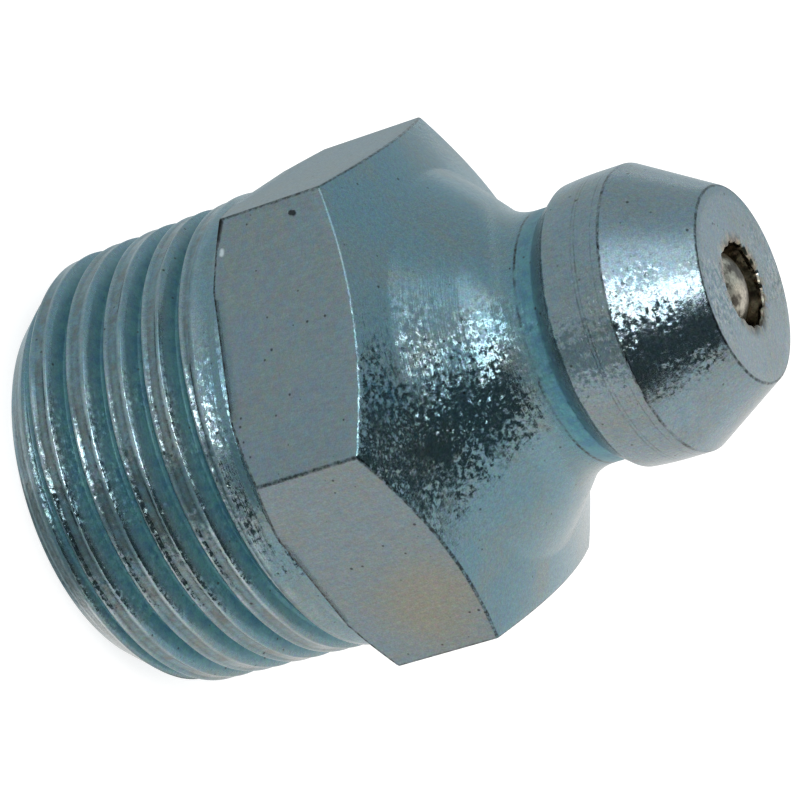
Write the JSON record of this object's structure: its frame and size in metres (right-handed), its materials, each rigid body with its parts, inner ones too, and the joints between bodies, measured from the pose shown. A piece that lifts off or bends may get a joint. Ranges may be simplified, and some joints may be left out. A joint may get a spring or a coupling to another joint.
{
  "type": "grease nipple",
  "caption": "Straight grease nipple: taper thread, plain collar, hexagon, swept shoulder and a cone-shaped coupler head with a sprung check ball in its filling hole.",
  "frame": {"origin": "on the nipple's axis, in the plane of the thread's end face", "axes": "+Z along the axis from the thread to the tip of the coupler head, +X through a corner of the hexagon, +Y square to a flat"},
  "size_m": [0.0122, 0.0106, 0.016],
  "materials": {
    "zinc_plated_steel": "zinc plated and blue passivated, turned, slightly rough",
    "ball_steel": "hardened, ground, with a brownish film of oil",
    "spring_steel": "drawn wire, satin"
  },
  "bodies": {
    "body": {"nipple_body": "zinc_plated_steel", "valve_spring": "spring_steel"},
    "ball": {"check_ball": "ball_steel"}
  },
  "joints": [
    {"name": "ball_slide", "type": "slide", "parent": "body", "child": "ball", "axis": [0, 0, -1], "range_m": [0, 0.0108], "stiffness_N_per_m": 600, "springref_m": -0.0017, "deforming": ["valve_spring"]}
  ]
}
